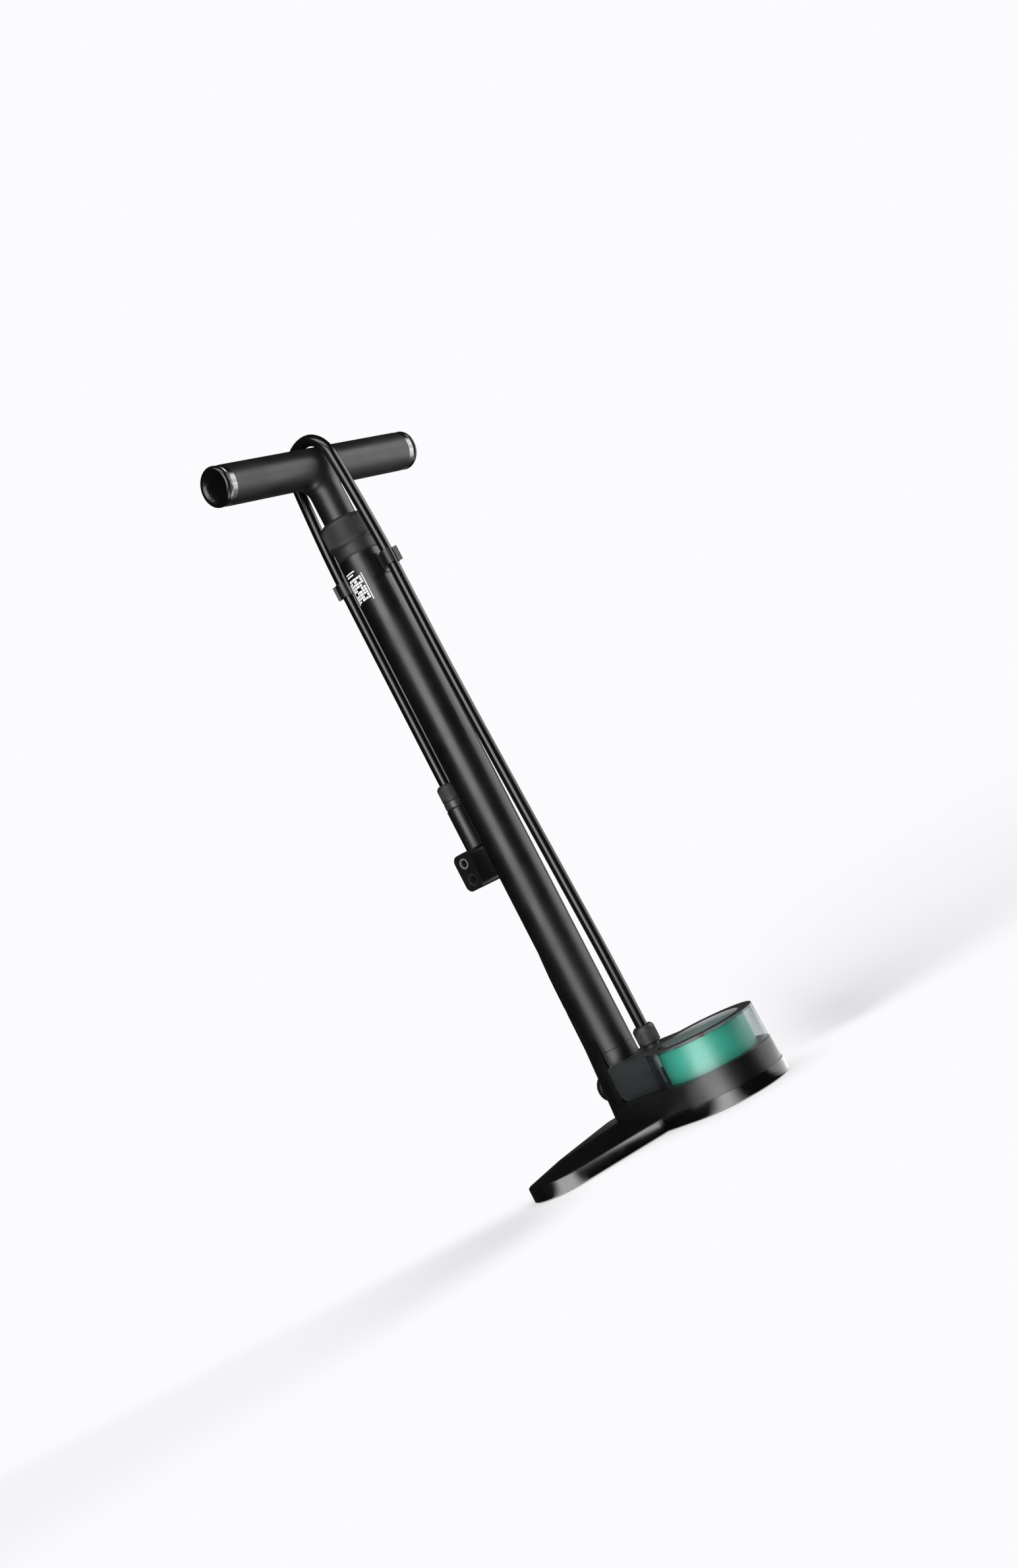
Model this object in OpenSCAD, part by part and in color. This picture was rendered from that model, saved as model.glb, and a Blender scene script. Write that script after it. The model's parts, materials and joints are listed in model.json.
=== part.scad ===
// Floor pump with a T-handle, a pressure gauge in its foot and a hose hooked over the handle.
// Millimetres. +Z is up, the barrel's axis is the Z axis and the floor is z = 0.
// The gauge is towards -Y and the handle lies along X.

/* [Barrel] */
// Outer diameter of the barrel tube
barrel_od = 38; // [30:0.5:46]
// Wall of the barrel tube
barrel_wall = 2; // [1.5:0.1:3]
// Length of the barrel tube
barrel_len = 460; // [380:5:555]
// Height of the collar that the barrel stands on
collar_h = 12; // [8:1:16]

/* [Top cap] */
// How far the cap's grip band stands out from the barrel
cap_step = 1.75; // [1:0.25:4]
// Height of the smooth band under the grip band
cap_neck_h = 11; // [6:1:16]
// Height of the grip band
cap_band_h = 20; // [12:1:30]
// Chamfer at the top of the cap
cap_chamfer = 1.5; // [0.5:0.25:3]

/* [Rod and piston] */
// Outer diameter of the piston rod
rod_od = 12; // [10:0.5:15]
// Wall of the piston rod
rod_wall = 1.5; // [1:0.25:2.5]
// Height of the piston
piston_h = 16; // [13:1:22]
// Height of the rubber bumper on the rod
bumper_h = 8; // [4:1:14]

/* [Handle] */
// Length of the handle over its end caps
handle_len = 233; // [190:1:280]
// Diameter of the handle bar
handle_od = 33.7; // [31.5:0.1:41]
// Diameter of the stem below the bar
stem_od = 29; // [26:0.5:33]
// Height of the bar's axis above the top of the cap
handle_rise = 51; // [42:1:62]
// Outer diameter of the tube inside the bar
handle_tube_od = 22; // [20:0.5:25]

/* [Foot] */
// Distance from the barrel's axis to the centre of a wing's tip
wing_reach = 113.5; // [90:0.5:137]
// Radius of a wing's tip
wing_tip_r = 30; // [24:0.5:36]
// Distance from the barrel's axis to the gauge's axis
gauge_reach = 90; // [82:1:100]
// Radius of the foot under the gauge
gauge_foot_r = 50; // [47:0.5:60]
// Thickness of the slab
slab_h = 10.7; // [8:0.1:14]
// Height of the housing above the slab
housing_h = 18.5; // [16:0.5:23]
// How far the rubber pads stand below the slab
pad_drop = 0.8; // [0.4:0.1:2]

/* [Gauge] */
// Height of the clear cover
cover_h = 29.5; // [27:0.5:36]
// Wall of the clear cover
cover_wall = 2.2; // [1.5:0.1:3]
// Radius of the clear cover round the gauge, at its foot
cover_r = 48.2; // [46:0.1:49]
// Half the width of the cover's neck
neck_half = 26; // [23:0.5:29]
// Outer radius of the coloured ring
ring_r = 38; // [34:0.5:42]

/* [Hose] */
// Outer diameter of the hose
hose_od = 10; // [8:0.5:10]
// Diameter of the gland nut on the foot
gland_nut_od = 18.5; // [15:0.5:22]
// Diameter of the chuck's nut
chuck_nut_od = 18; // [15:0.5:21]
// Diameter of the chuck's body
chuck_od = 19; // [16:0.5:21]

/* [Hidden] */
$fn = 96;

// Clearances: between fixed pieces, between sliding or turning pieces, and between free ones
fit = 0.1;
run = 0.05;
free = 0.4;

// Heights of the foot
slab_z = pad_drop;
housing_z = slab_z + slab_h;
deck_z = housing_z + housing_h;
cover_top = deck_z + cover_h;
collar_z = cover_top + 0.5;
barrel_z = collar_z + collar_h;
barrel_top = barrel_z + barrel_len;
cap_top = barrel_top + cap_neck_h + cap_band_h + 2 * cap_chamfer;

barrel_r = barrel_od / 2;
bore_r = barrel_r - barrel_wall;
cap_r = barrel_r + cap_step;
cap_neck_r = barrel_r - 0.3;

// Guide for the rod in the cap
bush_r = rod_od / 2 + 3;
spigot_h = 18;
bush_z = barrel_top - spigot_h;
bush_h = 26;
wiper_h = 5;
rod_r = rod_od / 2;
rod_bore_r = rod_r - rod_wall;

// Lower fitting
foot_spigot_h = 14;
stud_r = 12;
stud_h = 10;
air_r = 2.5;

// Piston, standing just above the lower fitting
piston_gap = 1;
piston_bolt_h = 2.5;
piston_z = barrel_z + foot_spigot_h + piston_gap + piston_bolt_h;
piston_web = 2;
piston_r = bore_r - free;
piston_top = piston_z + piston_h;

// Handle
stem_gap = 0.5;
stem_z = cap_top + stem_gap;
handle_z = cap_top + handle_rise;
handle_r = handle_od / 2;
tube_r = handle_tube_od / 2;
tube_wall = 2;
cap_len = 4.6;
ring_len = 6.5;
grip_half = handle_len / 2 - cap_len - ring_len;
rod_top = handle_z + tube_r;
bolt_head_r = rod_r + 0.5;
bolt_head_h = 4;

// Check valve, across the manifold behind the barrel's foot
valve_z = deck_z + 12.5;
chamber_r = 5;
seat_y = 4;
seat_h = 3;
poppet_h = 2;
poppet_r = 3.6;
poppet_stem_r = 1.2;
poppet_stem_h = 3.5;
socket_wall_low = 4.6;
socket_r = barrel_r + socket_wall_low;
plug_r = 11;
plug_head_y = barrel_r + 3.4;
plug_tip_y = barrel_r - 2;
plug_face_y = barrel_r + 9;
spine_h = 200;
spine_tip = 0.7;
manifold_r = barrel_r - 0.8;
gland_off = 3.9;
gland_y = -(gauge_reach - ring_r + barrel_r) / 2 - gland_off;
arm_half = 8;
arm_end = 22;
arm_h = 13;
gland_boss_h = 25;
gland_boss_r = 9;
gland_plug_r = 5;
gland_plug_h = 8;
gland_neck_r = 7;
duct_z = deck_z + 4.5;
duct_r = 1.5;
duct_back = seat_y + seat_h + 4;
spring_r = 2.3;
spring_wire_r = 0.35;
spring_turns = 5;
spring_y = seat_y + seat_h + run + poppet_h + fit + spring_wire_r;
spring_len = plug_tip_y - spring_y - spring_wire_r - fit;

// Gauge
gauge_y = -gauge_reach;
ring_wall = 2;
dial_z = cover_top - 7;
dial_h = 1;
needle_z = dial_z + dial_h + 0.6;
needle_h = 0.7;
plate_z = deck_z + 6;
plate_h = 2;
gear_z = plate_z + plate_h + 1;
gear_h = 2.5;
gear_module = 0.5;
pinion_teeth = 12;
sector_teeth = 60;
gear_reach = gear_module * (pinion_teeth + sector_teeth) / 2;
gear_backlash = 0.06;
gear_root = 0.65;
gear_tip = 0.42;
sector_span = 10;
sector_pin_r = 1.5;
arbor_r = 1;
plate_r = 22;
pillar_r = 2.5;
bourdon_r = 27;
bourdon_t = 3;
bourdon_h = 5;
bourdon_z = deck_z + 15;
block_z = deck_z + arm_h;
needle_rest = 135;
neck_corner_r = 6.5;
neck_gap = 7;
trim_in = 0.3;

// Printed label
label_drop = 42;
label_z = barrel_top - label_drop;
label_h = 31;
label_turn = 29;
label_t = 0.25;
label_gap = 0.02;

// Hose gland and clips
gland_nut_z = cover_top + 3.5;
gland_nut_h = 16;
hose_entry = 10;
hose_start_z = gland_nut_z + hose_entry;
hose_r = hose_od / 2;
clip_drop = 22;
clip_z = barrel_top - clip_drop;
clip_h = 12.5;
clip_saddle_h = 18;
clip_wall = 1.6;
clip_front_out = 11;
clip_rear_out = 13;
clip_front_y = -(barrel_r + clip_front_out);
clip_rear_y = barrel_r + clip_rear_out;

// Chuck, hanging on the rear strand of the hose
chuck_y = clip_rear_y;
chuck_nut_z = 315;
chuck_nut_h = 15;
hose_end_z = chuck_nut_z + 6;
chuck_ring_h = 6.5;
chuck_body_h = 37.5;
chuck_body_z = chuck_nut_z - chuck_ring_h - chuck_body_h;
head_h = 32.5;
head_half = 10;
head_front = -24;
head_back = 17;
port_small_z = chuck_body_z - 8.5;
port_large_z = chuck_body_z - 23.5;
port_small_r = 3.1;
port_large_r = 4;
seal_wall = 1.6;
port_depth = 15;
port_lip = 1;
ring_step = 0.3;
pin_r = 1.5;
lever_x = 12.6;
lever_z = chuck_body_z - 8.5;
lever_hub_r = 4;
lever_half = 4;
lever_len = 42;

// Route of the hose, from the gland up the front, over the handle and down the back to the chuck
hose_route = [
    [0, -39.4, 73], [0, -39.4, 92], [0, -39.2, 120], [0, -38.7, 150], [0, -37.8, 180],
    [0, -36.8, 210], [0, -35.8, 240], [0, -34.7, 270], [0, -33.7, 300], [0, -32.7, 330],
    [0, -31.8, 360], [0, -31, 390], [0, -30.4, 420], [0, -30.1, 450], [0, -30, 480],
    [0, -30, 510], [0, -30, 525], [0, -28.9, 550], [0, -27.2, 580], [0, -25, 610],
    [0, -24, 619], [0, -21, 627], [0, -16, 633.5], [0, -9, 638], [0, 0, 639.5],
    [0, 9.5, 638], [0, 17.5, 633.5], [0, 23, 627], [0, 26, 619], [0, 27.4, 610],
    [0, 29.6, 580], [0, 31.3, 550], [0, 32, 525], [0, 32, 510], [0, 32, 480],
    [0, 32, 450], [0, 32, 420], [0, 32, 390], [0, 32, 355], [0, 32, 321]
];

// ---------- shapes used more than once ----------

// A ring or tube standing on z
module tube(r_out, r_in, z, h) {
    translate([0, 0, z])
        difference() {
            cylinder(r = r_out, h = h);
            translate([0, 0, -1]) cylinder(r = r_in, h = h + 2);
        }
}

// A disc or rod standing on z
module disc(r, z, h) {
    translate([0, 0, z]) cylinder(r = r, h = h);
}

// A piece drawn along +Z, laid along +X
module along_x() {
    rotate([0, 90, 0]) children();
}

// A piece drawn along +Z, laid along +Y
module along_y() {
    rotate([-90, 0, 0]) children();
}

module at_gauge() {
    translate([0, gauge_y, 0]) children();
}

module at_gland() {
    translate([0, gland_y, 0]) children();
}

module at_chuck() {
    translate([0, chuck_y, 0]) children();
}

// ---------- foot ----------

// Outline of one wing, grown by g
module wing_plan(side, g = 0) {
    hull() {
        translate([side * wing_reach, 3]) circle(r = wing_tip_r + g);
        translate([side * 44, -36]) circle(r = 20 + g);
        translate([0, 16]) circle(r = 17 + g);
        circle(r = socket_r + g);
    }
}

// Outline of the lobe under the gauge, grown by g
module lobe_plan(g = 0) {
    hull() {
        translate([0, gauge_y]) circle(r = gauge_foot_r + g);
        for (side = [-1, 1])
            translate([side * 36, -14]) circle(r = 10 + g);
    }
}

module foot_plan(g = 0) {
    wing_plan(-1, g);
    wing_plan(1, g);
    lobe_plan(g);
}

screw_places = [[-88, 4], [88, 4], [0, gauge_y - 33], [-31, gauge_y + 22], [31, gauge_y + 22]];
pad_places = [[-wing_reach, 3], [wing_reach, 3], [0, gauge_y - 14], [0, 10]];
screw_r = 2;
screw_head_r = 4;
screw_head_h = 2.2;
screw_len = 14;
screw_sink = 1.6;
pad_r = 14;
pad_h = 2.6;

module base_slab() {
    color("#101012")
        difference() {
            translate([0, 0, slab_z]) linear_extrude(slab_h) foot_plan();
            for (p = screw_places)
                translate([p[0], p[1], 0]) {
                    disc(screw_r + fit, -1, housing_z + 2);
                    disc(screw_head_r + fit, -1, slab_z + screw_sink + screw_head_h + 1);
                }
            for (p = pad_places)
                translate([p[0], p[1], 0]) disc(pad_r + fit, -1, pad_h + 1);
        }
}

// The top of one wing, sloping from the slab's edge to a crest
module wing_top(side) {
    hull() {
        translate([0, 0, housing_z]) linear_extrude(0.4) wing_plan(side, -0.6);
        translate([side * (wing_reach - 12), 7, housing_z]) cylinder(r = 5, h = 7.2, $fn = 32);
        translate([side * 30, 0, housing_z]) cylinder(r = 16, h = 9, $fn = 48);
    }
}

// The half collar that holds the barrel from behind, running up the back to a point
module socket_outside() {
    intersection() {
        rotate_extrude()
            polygon([
                [0, housing_z], [socket_r + 1.4, housing_z], [socket_r, deck_z + 4],
                [socket_r - 1, valve_z + 8],
                [barrel_r + 2, barrel_z + 8], [barrel_r + spine_tip, spine_h], [0, spine_h]
            ]);
        translate([0, 60, 0])
            rotate([90, 0, 0])
                linear_extrude(64)
                    polygon([
                        [-40, 0], [40, 0], [40, barrel_z], [barrel_r + 1, barrel_z + 4],
                        [barrel_r * 0.72, spine_h * 0.68], [3, spine_h - 1], [-3, spine_h - 1],
                        [-barrel_r * 0.72, spine_h * 0.68], [-barrel_r - 1, barrel_z + 4], [-40, barrel_z]
                    ]);
    }
}

module base_housing() {
    color("#1b1b1d")
        difference() {
            union() {
                wing_top(-1);
                wing_top(1);
                hull() {
                    translate([0, 0, housing_z]) linear_extrude(0.5) lobe_plan(-0.6);
                    translate([0, 0, deck_z - 0.5]) linear_extrude(0.5) lobe_plan(-1.5);
                }
                socket_outside();
            }
            disc(barrel_r + fit, deck_z, spine_h);
            translate([0, 0, valve_z]) along_y() disc(chamber_r + 1.2 + fit, 0, 60);
            translate([0, 0, valve_z]) along_y() disc(plug_r + fit, plug_head_y, 40);
            for (p = screw_places)
                translate([p[0], p[1], 0]) disc(screw_r + fit, 0, slab_z + screw_len + fit);
        }
}

module rubber_pads() {
    color("#262626")
        for (p = pad_places)
            translate([p[0], p[1], 0]) disc(pad_r, 0, pad_h);
}

module base_screws() {
    color("#8c8c90")
        for (p = screw_places)
            translate([p[0], p[1], slab_z + screw_sink])
                difference() {
                    union() {
                        cylinder(r = screw_head_r, h = screw_head_h);
                        cylinder(r = screw_r, h = screw_len - screw_sink);
                    }
                    disc(1.3, -1, 2.2, $fn = 6);
                }
}

// ---------- barrel ----------

// Collar, spigot and threaded stud that join the barrel to the foot
module barrel_foot() {
    color("#232326")
        rotate_extrude()
            polygon([
                [air_r, collar_z - stud_h], [stud_r, collar_z - stud_h], [stud_r, collar_z],
                [barrel_r, collar_z], [barrel_r, barrel_z - 0.3], [barrel_r - 0.3, barrel_z],
                [bore_r - fit, barrel_z], [bore_r - fit, barrel_z + 5], [bore_r - 2, barrel_z + 5],
                [bore_r - 2, barrel_z + 8], [bore_r - fit, barrel_z + 8],
                [bore_r - fit, barrel_z + foot_spigot_h - 1], [bore_r - fit - 1, barrel_z + foot_spigot_h],
                [air_r, barrel_z + foot_spigot_h]
            ]);
}

module foot_seal() {
    color("#151515") tube(bore_r - fit / 2, bore_r - 2 + fit, barrel_z + 5 + fit, 3 - 2 * fit);
}

module barrel_tube() {
    color("#1f1f22")
        rotate_extrude()
            polygon([
                [bore_r, barrel_z], [barrel_r - 0.3, barrel_z], [barrel_r, barrel_z + 0.3],
                [barrel_r, barrel_top - 0.3], [barrel_r - 0.3, barrel_top], [bore_r, barrel_top]
            ]);
}

// Thin printed label on the barrel's left side
module barrel_label() {
    color("#d8d8d8")
        rotate([0, 0, 180 - label_turn])
            translate([0, 0, label_z])
                rotate_extrude(angle = 2 * label_turn)
                    translate([barrel_r + label_gap, 0]) square([label_t, label_h]);
}

// ---------- top cap and rod guide ----------

module top_cap() {
    band_z = barrel_top + cap_neck_h;
    color("#2b2b2d")
        rotate_extrude()
            polygon([
                [bush_r + fit, bush_z], [bore_r - fit - 1, bush_z], [bore_r - fit, bush_z + 1],
                [bore_r - fit, bush_z + 5], [bore_r - 2, bush_z + 5], [bore_r - 2, bush_z + 8],
                [bore_r - fit, bush_z + 8], [bore_r - fit, barrel_top], [cap_neck_r - 0.6, barrel_top],
                [cap_neck_r - 0.6, barrel_top + 0.8], [cap_neck_r, barrel_top + 1.4],
                [cap_neck_r, band_z - 2], [cap_r - 0.4, band_z], [cap_r, band_z + 0.6],
                [cap_r, cap_top - 2 * cap_chamfer], [cap_r - 0.5, cap_top - cap_chamfer - 0.8],
                [cap_r - cap_chamfer - 1.5, cap_top], [rod_r + free, cap_top], [rod_r + free, cap_top - 2],
                [bush_r + fit, cap_top - 2]
            ]);
}

module cap_seal() {
    color("#151515") tube(bore_r - fit / 2, bore_r - 2 + fit, bush_z + 5 + fit, 3 - 2 * fit);
}

module rod_bush() {
    color("#b7b09a") tube(bush_r, rod_r + run, bush_z, bush_h);
}

module wiper_seal() {
    color("#1c1c1c") tube(bush_r, rod_r + run, cap_top - 2 - wiper_h, wiper_h);
}

// ---------- manifold and check valve ----------

// Block under the barrel that takes the air to the hose and the gauge
module manifold() {
    color("#8a8a8e")
        difference() {
            union() {
                disc(manifold_r, deck_z, collar_z - deck_z);
                translate([-arm_half, gland_y - arm_end, deck_z])
                    cube([2 * arm_half, arm_end - gland_y, arm_h]);
                at_gland() disc(gland_boss_r, deck_z, gland_boss_h);
            }
            disc(stud_r + fit, collar_z - stud_h, 20);
            disc(air_r, valve_z, 30);
            translate([0, 0, valve_z])
                along_y() {
                    disc(air_r - 0.5, 0, seat_y + 1);
                    disc(chamber_r, seat_y, 40);
                }
            translate([0, duct_back, duct_z]) cylinder(r = duct_r, h = valve_z - duct_z);
            translate([0, gauge_y + bourdon_r + 2, duct_z])
                along_y() disc(duct_r, 0, duct_back - gauge_y - bourdon_r - 2);
            translate([0, gauge_y + bourdon_r + 2, duct_z]) cylinder(r = duct_r, h = arm_h);
            at_gland() {
                disc(duct_r, duct_z, 40);
                disc(gland_plug_r + fit, deck_z + gland_boss_h - gland_plug_h, 20);
            }
        }
}

module valve_seat() {
    color("#b08d45")
        translate([0, 0, valve_z])
            along_y() tube(chamber_r - fit / 2, air_r - 0.5, seat_y, seat_h);
}

module valve_poppet() {
    color("#7a5a33")
        translate([0, seat_y + seat_h + run, valve_z])
            along_y() {
                cylinder(r = poppet_r, h = poppet_h);
                cylinder(r = poppet_stem_r, h = poppet_h + poppet_stem_h);
            }
}

// Coil spring between the poppet and the plug, as a swept tube
module valve_spring() {
    steps = 16;
    sides = 6;
    rings = spring_turns * steps;
    points = [
        for (i = [0 : rings])
            for (k = [0 : sides - 1])
                let (
                    turn = 360 * i / steps,
                    around = 360 * k / sides,
                    out = spring_r + spring_wire_r * cos(around)
                )
                    [out * cos(turn), spring_len * i / rings + spring_wire_r * sin(around), out * sin(turn)]
    ];
    walls = [
        for (i = [0 : rings - 1])
            for (k = [0 : sides - 1])
                let (n = (k + 1) % sides)
                    [i * sides + k, i * sides + n, (i + 1) * sides + n, (i + 1) * sides + k]
    ];
    ends = [
        [for (k = [sides - 1 : -1 : 0]) k],
        [for (k = [0 : sides - 1]) rings * sides + k]
    ];
    color("#c0c0c4")
        translate([0, spring_y, valve_z])
            polyhedron(points = points, faces = concat(walls, ends));
}

// Screw plug that closes the valve chamber from behind
module valve_plug() {
    color("#161618")
        translate([0, 0, valve_z])
            along_y()
                difference() {
                    union() {
                        disc(chamber_r - fit / 2, plug_tip_y, plug_head_y - plug_tip_y + 1);
                        disc(plug_r - 1, plug_head_y, plug_face_y - plug_head_y);
                        disc(plug_r, plug_head_y, plug_face_y - plug_head_y - 1);
                    }
                    disc(3, plug_face_y - 3, 4, $fn = 6);
                }
}

// ---------- gauge ----------

// Outside of the clear cover, shrunk by g
module cover_outside(g) {
    neck_end = -neck_gap - g;
    top = cover_h - g;
    translate([0, gauge_y, deck_z])
        cylinder(r1 = cover_r - g, r2 = cover_r - 0.8 - g, h = top);
    intersection() {
        translate([-neck_half + g, gauge_y, deck_z])
            cube([2 * (neck_half - g), neck_end - gauge_y, top]);
        translate([neck_half, 0, 0])
            rotate([0, -90, 0])
                linear_extrude(2 * neck_half)
                    union() {
                        translate([deck_z + neck_corner_r, gauge_y]) square([cover_h, gauge_reach]);
                        translate([deck_z, gauge_y])
                            square([cover_h, neck_end - neck_corner_r - gauge_y]);
                        translate([deck_z + neck_corner_r, neck_end - neck_corner_r])
                            circle(r = neck_corner_r);
                    }
    }
}

module gauge_cover() {
    color("#9fb0ae", 0.4)
        difference() {
            cover_outside(0);
            translate([0, 0, -0.01]) cover_outside(cover_wall);
            disc(barrel_r + free, deck_z - 1, cover_h + 2);
            at_gland() disc(gland_neck_r + fit, deck_z, 60);
        }
}

// Dark frame printed round the top edge of the cover
module cover_trim() {
    color("#131315")
        translate([0, 0, cover_top])
            linear_extrude(0.4)
                difference() {
                    union() {
                        translate([0, gauge_y]) circle(r = cover_r - 1);
                        translate([-neck_half + trim_in, gauge_y])
                            square([2 * (neck_half - trim_in), gauge_reach - neck_gap - trim_in]);
                    }
                    circle(r = barrel_r + free);
                    translate([0, gland_y]) circle(r = gland_neck_r + fit);
                    translate([0, gauge_y]) circle(r = ring_r - ring_wall);
                }
}

module gauge_ring() {
    color("#3fae95")
        difference() {
            at_gauge() tube(ring_r, ring_r - ring_wall, deck_z, cover_h - cover_wall - 1);
            translate([-arm_half - 1, gauge_y, deck_z - 1]) cube([2 * arm_half + 2, gauge_reach, arm_h + 2]);
        }
}

module gauge_dial() {
    color("#d9ded9")
        at_gauge() tube(ring_r - ring_wall - fit, arbor_r + free, dial_z, dial_h);
}

module gauge_needle() {
    color("#c8452f")
        at_gauge()
            rotate([0, 0, needle_rest])
                translate([0, 0, needle_z])
                    linear_extrude(needle_h)
                        difference() {
                            union() {
                                circle(r = 3);
                                polygon([[-1.4, -9], [1.4, -9], [0.5, 29], [-0.5, 29]]);
                            }
                            circle(r = arbor_r + fit / 2);
                        }
}

// Straight-sided teeth round a gear, from tooth number first to tooth number last
module gear_teeth(teeth, first, last) {
    pitch_r = gear_module * teeth / 2;
    half = gear_module * PI / 4 - gear_backlash;
    root = pitch_r - gear_root;
    tip = pitch_r + gear_tip;
    for (i = [first : last])
        rotate([0, 0, i * 360 / teeth])
            polygon([
                [root - 0.4, -half - gear_root * tan(20)], [tip, -half + gear_tip * tan(20)],
                [tip, half - gear_tip * tan(20)], [root - 0.4, half + gear_root * tan(20)]
            ]);
}

module needle_arbor() {
    color("#b9a06a")
        at_gauge() {
            disc(arbor_r, plate_z - 1, needle_z + needle_h + 0.5 - plate_z + 1);
            translate([0, 0, gear_z])
                linear_extrude(gear_h)
                    rotate([0, 0, 180 / pinion_teeth])
                        union() {
                            circle(r = gear_module * pinion_teeth / 2 - gear_root);
                            gear_teeth(pinion_teeth, 0, pinion_teeth - 1);
                        }
        }
}

// Toothed sector that turns the needle's pinion
module sector_gear() {
    root = gear_module * sector_teeth / 2 - gear_root;
    pitch = 360 / sector_teeth;
    low = 180 - (sector_span + 0.5) * pitch;
    high = 180 + 1.5 * pitch;
    color("#b9a06a")
        at_gauge()
            translate([gear_reach, 0, 0]) {
                translate([0, 0, gear_z])
                    linear_extrude(gear_h)
                        union() {
                            rotate([0, 0, 180]) gear_teeth(sector_teeth, -sector_span, 1);
                            intersection() {
                                circle(r = root);
                                polygon([
                                    [0, 0], [2 * root * cos(low), 2 * root * sin(low)],
                                    [2 * root * cos(high), 2 * root * sin(high)]
                                ]);
                            }
                            circle(r = 3);
                        }
                disc(sector_pin_r, plate_z - 1, gear_z + gear_h + 1 - plate_z + 1);
            }
}

// Plate on three pillars that carries the gear train
module movement_plate() {
    color("#a98f55")
        at_gauge()
            difference() {
                union() {
                    disc(plate_r, plate_z, plate_h);
                    for (turn = [60, 180, 300])
                        rotate([0, 0, turn])
                            translate([plate_r - pillar_r - 0.5, 0, 0])
                                disc(pillar_r, deck_z, plate_z + 1 - deck_z);
                }
                disc(arbor_r + run, 0, 80);
                translate([gear_reach, 0, 0]) disc(sector_pin_r + run, 0, 80);
            }
}

// Curved pressure tube that bends as the pressure rises, and the block it is brazed into
module bourdon_tube() {
    color("#b98b4a")
        at_gauge() {
            rotate([0, 0, 90])
                rotate_extrude(angle = 255)
                    translate([bourdon_r - bourdon_t / 2, bourdon_z]) square([bourdon_t, bourdon_h]);
            translate([-4, bourdon_r - 3.5, block_z]) cube([8, 7, bourdon_z + bourdon_h + 1 - block_z]);
        }
}

// ---------- hose gland and clips ----------

// Hollow stem screwed into the manifold
module gland_stem() {
    color("#2a2a2c")
        at_gland()
            difference() {
                union() {
                    disc(gland_plug_r, deck_z + gland_boss_h - gland_plug_h, gland_plug_h);
                    disc(gland_neck_r, deck_z + gland_boss_h, gland_nut_z - deck_z - gland_boss_h);
                    disc(hose_r, gland_nut_z, hose_start_z - gland_nut_z);
                }
                disc(duct_r, 0, 100);
            }
}

// A coupling nut with chamfered ends, a bore below for the stem and above for the hose
module coupling_nut(r, z, h) {
    translate([0, 0, z])
        rotate_extrude()
            polygon([
                [hose_r + fit, 0], [r - 1, 0], [r, 1], [r, h - 2], [r - 2, h], [hose_r + fit, h]
            ]);
}

module gland_nut() {
    color("#2d2d2f") at_gland() coupling_nut(gland_nut_od / 2, gland_nut_z, gland_nut_h);
}

// A saddle on the barrel with an open C that grips the hose; side is -1 at the front, 1 at the back
module hose_clip(side, hose_y) {
    inner = hose_r + fit;
    outer = inner + clip_wall;
    reach = abs(hose_y);
    color("#161618")
        rotate([0, 0, side > 0 ? 180 : 0])
            difference() {
                union() {
                    intersection() {
                        tube(
                            barrel_r + clip_wall, barrel_r,
                            clip_z - (clip_saddle_h - clip_h) / 2, clip_saddle_h
                        );
                        linear_extrude(1000)
                            polygon([[0, 0], [-60 * tan(38), -60], [60 * tan(38), -60]]);
                    }
                    translate([-3, -reach + inner, clip_z]) cube([6, reach - inner - barrel_r, clip_h]);
                    translate([0, -reach, clip_z]) cylinder(r = outer, h = clip_h);
                    for (lip = [-1, 1])
                        translate([0, -reach, clip_z])
                            rotate([0, 0, lip * 42])
                                translate([-clip_wall / 2, -outer - 2.4, 0]) cube([clip_wall, 3.2, clip_h]);
                }
                translate([0, -reach, 0]) cylinder(r = inner, h = 1000);
                translate([0, -reach, 0])
                    linear_extrude(1000)
                        polygon([[0, 0], [-30 * tan(36), -30], [30 * tan(36), -30]]);
                cylinder(r = barrel_r, h = 1000);
            }
}

module hose_clip_front() {
    hose_clip(-1, clip_front_y);
}

module hose_clip_rear() {
    hose_clip(1, clip_rear_y);
}

// ---------- hose ----------

// A round tube swept along points that lie in one plane across X
module swept_hose(route, r, sides) {
    last = len(route) - 1;
    points = [
        for (i = [0 : last])
            let (
                along = route[min(i + 1, last)] - route[max(i - 1, 0)],
                dir = along / norm(along),
                out = [0, dir[2], -dir[1]]
            )
                for (k = [0 : sides - 1])
                    route[i] + r * cos(360 * k / sides) * [1, 0, 0] + r * sin(360 * k / sides) * out
    ];
    walls = [
        for (i = [0 : last - 1])
            for (k = [0 : sides - 1])
                let (n = (k + 1) % sides)
                    [i * sides + k, (i + 1) * sides + k, (i + 1) * sides + n, i * sides + n]
    ];
    ends = [
        [for (k = [0 : sides - 1]) k],
        [for (k = [sides - 1 : -1 : 0]) last * sides + k]
    ];
    polyhedron(points = points, faces = concat(walls, ends));
}

module hose() {
    color("#0d0d0e") swept_hose(hose_route, hose_r, 12);
}

// ---------- chuck ----------

module chuck_nut() {
    color("#2d2d2f") at_chuck() coupling_nut(chuck_nut_od / 2, chuck_nut_z, chuck_nut_h);
}

module chuck_ring() {
    r = chuck_od / 2 - 0.4;
    color("#3a3a3c")
        at_chuck()
            translate([0, 0, chuck_nut_z - chuck_ring_h])
                rotate_extrude()
                    polygon([
                        [hose_r + fit, 0], [r - 0.6, 0], [r, 0.8], [r, chuck_ring_h - 0.5],
                        [r - 0.5, chuck_ring_h], [hose_r + fit, chuck_ring_h]
                    ]);
}

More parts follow.
